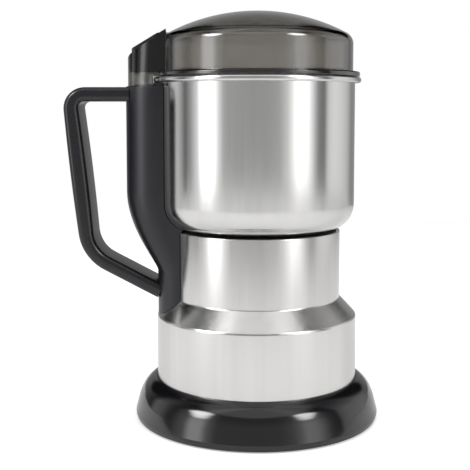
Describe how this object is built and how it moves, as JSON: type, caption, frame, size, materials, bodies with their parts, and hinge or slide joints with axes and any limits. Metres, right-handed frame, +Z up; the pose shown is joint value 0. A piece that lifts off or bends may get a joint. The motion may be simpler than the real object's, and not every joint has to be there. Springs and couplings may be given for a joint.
{
  "type": "electric spice grinder",
  "caption": "Steel spice grinder with a handled black spine, domed smoky lift-off lid with a push button, motor, spinning blade and vented base.",
  "frame": {"origin": "axis of the bowl and motor, at the plane the grinder stands on", "axes": "+Z up along the motor axis, handle towards -X, button over the handle, cord gland at the back towards +Y"},
  "size_m": [0.185, 0.1461, 0.24],
  "materials": {
    "base_plastic": "glossy black",
    "inner_plastic": "matt black",
    "rubber": "soft black rubber",
    "fastener": "plated steel",
    "body_steel": "vertically brushed stainless steel",
    "cast_alloy": "die cast",
    "core_iron": "laminated iron",
    "copper_wire": "enamelled copper",
    "brass_parts": "plain brass",
    "carbon": "pressed carbon",
    "bowl_steel": "satin stainless steel",
    "spine_plastic": "satin charcoal",
    "handle_plastic": "satin black",
    "blade_steel": "ground stainless steel",
    "smoky_lid": "smoky translucent plastic",
    "button_plastic": "satin black",
    "rod_plastic": "natural nylon"
  },
  "bodies": {
    "root": {"base_ring": "base_plastic", "bottom_plate": "inner_plastic", "foot_ring": "rubber", "base_screws": "fastener", "cord_gland": "rubber", "motor_housing": "body_steel", "motor_plate": "cast_alloy", "boss_screws": "fastener", "upper_bearing": "fastener", "lower_bracket": "cast_alloy", "lower_bearing": "fastener", "motor_screws": "fastener", "stator_core": "core_iron", "field_coils": "copper_wire", "brush_holders": "brass_parts", "carbon_brushes": "carbon", "bowl_gasket": "rubber", "bowl_shell": "bowl_steel", "bowl_boss": "cast_alloy", "grinding_bowl": "bowl_steel", "shaft_seal": "rubber", "spine_housing": "spine_plastic", "handle": "handle_plastic", "handle_screws": "fastener", "microswitch": "inner_plastic", "plunger_spring": "fastener"},
    "rotor": {"motor_shaft": "fastener", "rotor_core": "core_iron", "rotor_windings": "copper_wire", "commutator": "copper_wire", "cooling_fan": "inner_plastic", "blade_hub": "blade_steel", "grinding_blade": "blade_steel", "blade_nut": "blade_steel"},
    "lid": {"lid_shell": "smoky_lid", "lid_seal": "rubber", "button_guide": "button_plastic", "button_bezel": "button_plastic", "button_spring": "fastener"},
    "button": {"push_button": "button_plastic"},
    "switch_rod": {"switch_plunger": "rod_plastic", "switch_actuator": "brass_parts"}
  },
  "joints": [
    {"name": "blade_spin", "type": "hinge", "parent": "root", "child": "rotor", "pos_m": [0, 0, 0.1], "axis": [0, 0, 1], "continuous": true},
    {"name": "lid_lift", "type": "slide", "parent": "root", "child": "lid", "axis": [0, 0, 1], "range_m": [0, 0.08]},
    {"name": "button_press", "type": "slide", "parent": "lid", "child": "button", "axis": [0, 0, -1], "range_m": [0, 0.003], "stiffness_N_per_m": 600, "springref_m": -0.002, "deforming": ["button_spring"]},
    {"name": "switch_rod_slide", "type": "slide", "parent": "root", "child": "switch_rod", "axis": [0, 0, -1], "range_m": [0, 0.003], "deforming": ["plunger_spring"]}
  ],
  "couplings": [
    {"joint": "switch_rod_slide", "follows": "button_press", "ratio": 1}
  ]
}
